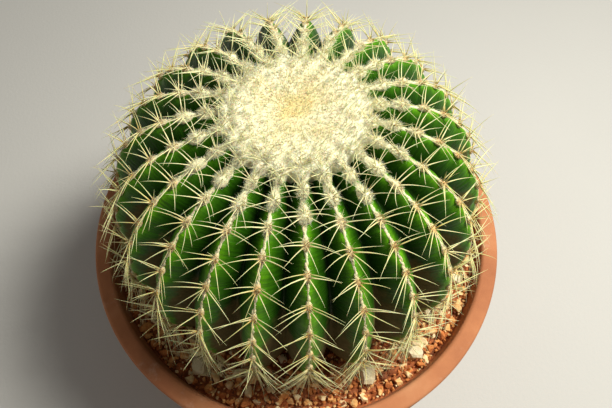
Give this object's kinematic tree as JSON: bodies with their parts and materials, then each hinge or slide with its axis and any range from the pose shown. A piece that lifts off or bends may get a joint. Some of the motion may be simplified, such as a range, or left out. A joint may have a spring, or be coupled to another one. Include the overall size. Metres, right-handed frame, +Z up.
{
  "type": "potted round cactus",
  "caption": "Round ribbed barrel cactus with a woolly crown and golden spines along its ribs, standing in red gravel in a plain round clay pot.",
  "frame": {"origin": "on the surface that the pot stands on, under the middle of the pot", "axes": "+Z up, through the middle of the pot and the cactus's crown; -Y is the front of the picture's view"},
  "size_m": [0.41, 0.41, 0.3884],
  "materials": {
    "clay": "matt, slightly chalky",
    "growing_mix": "loose, matt",
    "gravel": "rough, dusty",
    "pale_stone": "matt",
    "cactus_skin": "waxy, satin",
    "wool": "soft felt",
    "spines": "horny, satin"
  },
  "bodies": {
    "root": {"pot": "clay", "growing_mix": "growing_mix", "gravel": "gravel", "pale_chip_1": "pale_stone", "pale_chip_2": "pale_stone", "pale_chip_3": "pale_stone", "pale_chip_4": "pale_stone", "pale_chip_5": "pale_stone", "pale_chip_6": "pale_stone", "pale_chip_7": "pale_stone", "pale_chip_8": "pale_stone", "cactus_body": "cactus_skin", "crown_wool": "wool", "rib_01_spines": "spines", "rib_02_spines": "spines", "rib_03_spines": "spines", "rib_04_spines": "spines", "rib_05_spines": "spines", "rib_06_spines": "spines", "rib_07_spines": "spines", "rib_08_spines": "spines", "rib_09_spines": "spines", "rib_10_spines": "spines", "rib_11_spines": "spines", "rib_12_spines": "spines", "rib_13_spines": "spines", "rib_14_spines": "spines", "rib_15_spines": "spines", "rib_16_spines": "spines", "rib_17_spines": "spines", "rib_18_spines": "spines", "rib_19_spines": "spines", "rib_20_spines": "spines", "rib_21_spines": "spines", "rib_22_spines": "spines", "rib_23_spines": "spines"}
  },
  "joints": []
}
